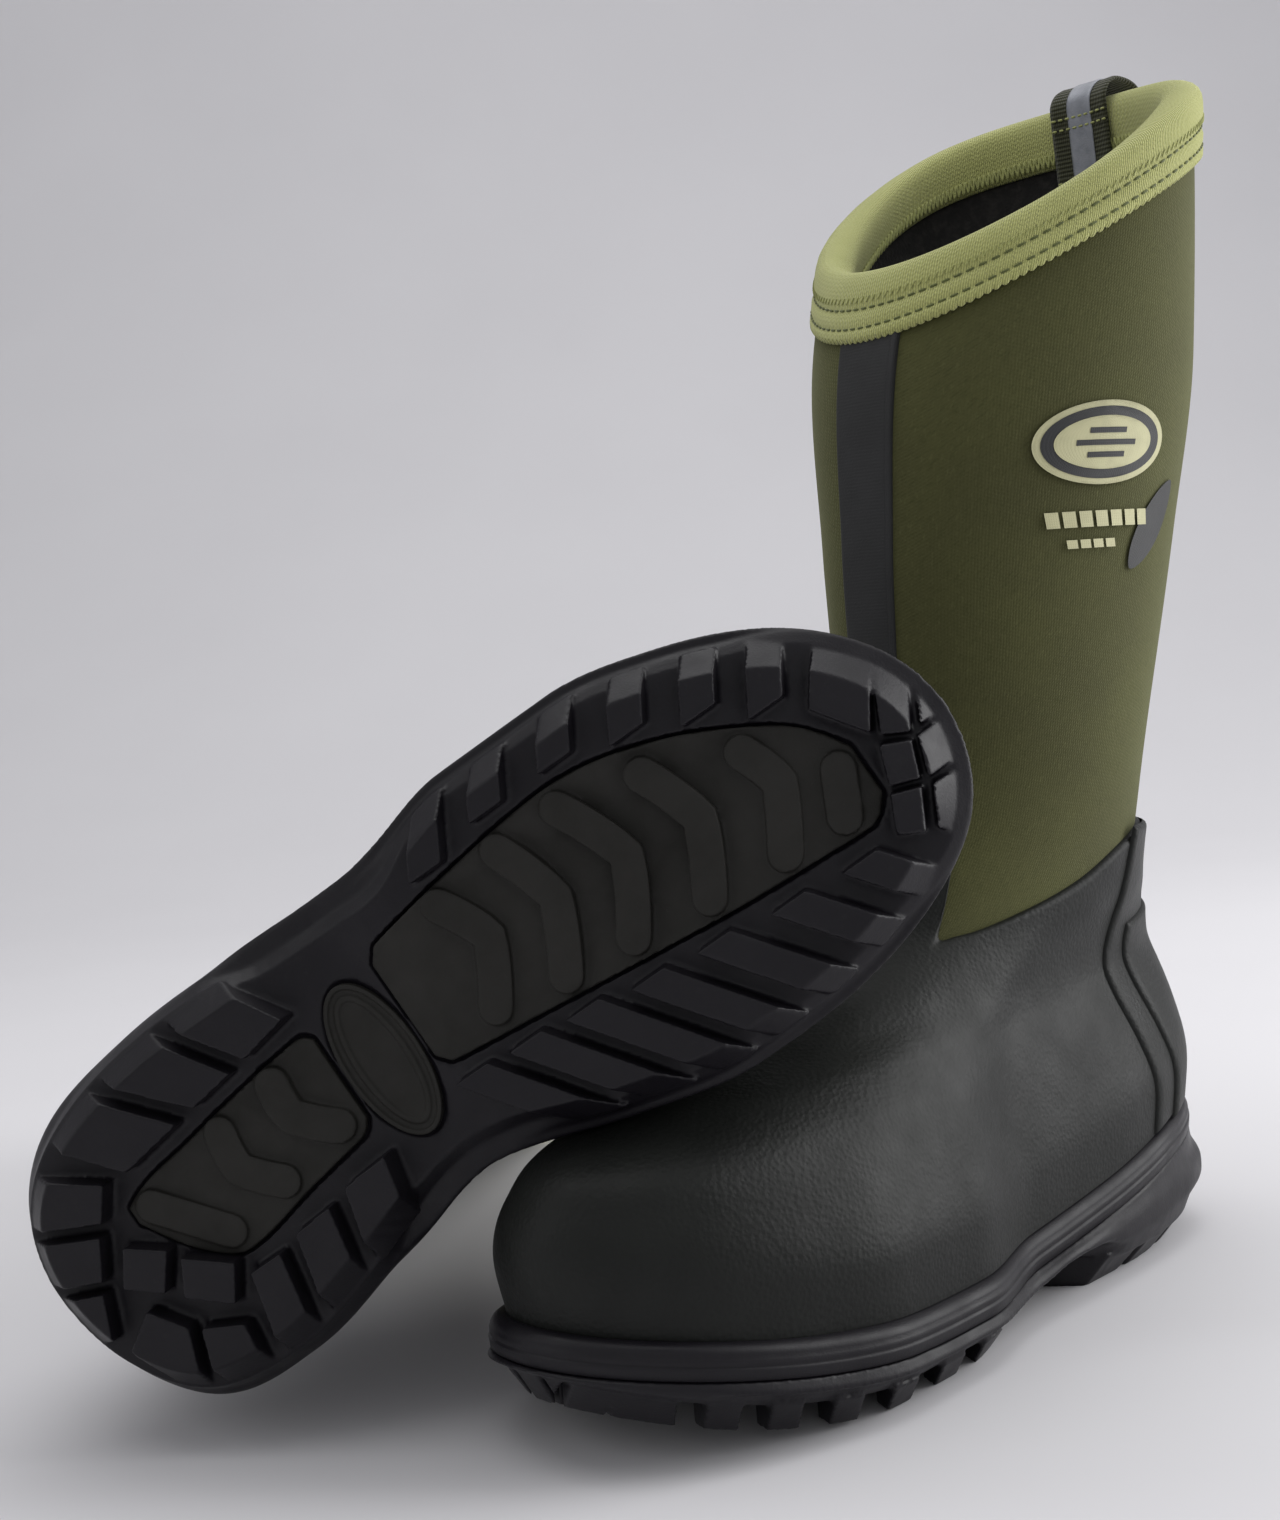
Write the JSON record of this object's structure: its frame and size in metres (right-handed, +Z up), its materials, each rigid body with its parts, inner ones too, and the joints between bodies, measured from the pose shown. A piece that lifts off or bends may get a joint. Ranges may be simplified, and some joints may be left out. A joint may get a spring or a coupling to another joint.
{
  "type": "insulated hunting boots",
  "caption": "Pair of pull-on insulated boots: rubber foot, knee-high neoprene shaft, knitted top binding, back pull loop and deep lugged sole, one boot lying against the other.",
  "frame": {"origin": "on the floor under the middle of the pair's bounding box", "axes": "+Z up; -Y towards the side that the leaning right boot's sole faces; +X towards the standing left boot's outer heel side"},
  "size_m": [0.39, 0.456, 0.4159],
  "materials": {
    "outsole_rubber": "matt near-black moulded rubber",
    "insert_rubber": "matt dark brown-olive moulded rubber",
    "foot_rubber": "satin dark green-black rubber with a pebbled grain",
    "neoprene": "olive fabric-faced neoprene foam",
    "lining": "dark brushed lining fabric",
    "binding": "lime-green knitted tape",
    "webbing": "ribbed olive-brown webbing",
    "reflector": "grey reflective tape",
    "tape": "matt dark grey seam tape",
    "print": "thin lime transfer",
    "foam": "closed-cell foam rubber",
    "footbed_foam": "moulded foam with a fabric top",
    "board": "pressed fibre board",
    "steel": "plain spring steel",
    "stiffener": "moulded plastic sheet"
  },
  "bodies": {
    "left_boot": {"left_outsole": "outsole_rubber", "left_forefoot_insert": "insert_rubber", "left_heel_insert": "insert_rubber", "left_waist_boss": "insert_rubber", "left_rand": "outsole_rubber", "left_midsole": "foam", "left_shank": "steel", "left_insole_board": "board", "left_foot_cover": "foot_rubber", "left_toe_puff": "stiffener", "left_heel_stiffener": "stiffener", "left_heel_counter": "foot_rubber", "left_heel_guard": "foot_rubber", "left_back_stay": "foot_rubber", "left_neoprene_bootie": "neoprene", "left_lining": "lining", "left_front_seam_tape": "tape", "left_top_binding": "binding", "left_pull_loop": "webbing", "left_loop_reflector": "reflector", "left_side_badge": "print"},
    "left_footbed_piece": {"left_footbed": "footbed_foam"},
    "right_boot": {"right_outsole": "outsole_rubber", "right_forefoot_insert": "insert_rubber", "right_heel_insert": "insert_rubber", "right_waist_boss": "insert_rubber", "right_rand": "outsole_rubber", "right_midsole": "foam", "right_shank": "steel", "right_insole_board": "board", "right_foot_cover": "foot_rubber", "right_toe_puff": "stiffener", "right_heel_stiffener": "stiffener", "right_heel_counter": "foot_rubber", "right_heel_guard": "foot_rubber", "right_back_stay": "foot_rubber", "right_neoprene_bootie": "neoprene", "right_lining": "lining", "right_front_seam_tape": "tape", "right_top_binding": "binding", "right_pull_loop": "webbing", "right_loop_reflector": "reflector", "right_side_badge": "print"},
    "right_footbed_piece": {"right_footbed": "footbed_foam"}
  },
  "joints": [
    {"name": "right_boot_lift", "type": "slide", "parent": "left_boot", "child": "right_boot", "axis": [0, 0, 1], "range_m": [0, 0.3]},
    {"name": "left_footbed_lift", "type": "hinge", "parent": "left_boot", "child": "left_footbed_piece", "pos_m": [-0.0274, -0.20846, 0.04978], "axis": [0.7902, -0.6129, 0], "range_deg": [0, 3]},
    {"name": "right_footbed_lift", "type": "hinge", "parent": "right_boot", "child": "right_footbed_piece", "pos_m": [0.06918, -0.16071, 0.19695], "axis": [0.5129, -0.0625, -0.8562], "range_deg": [0, 3]}
  ]
}
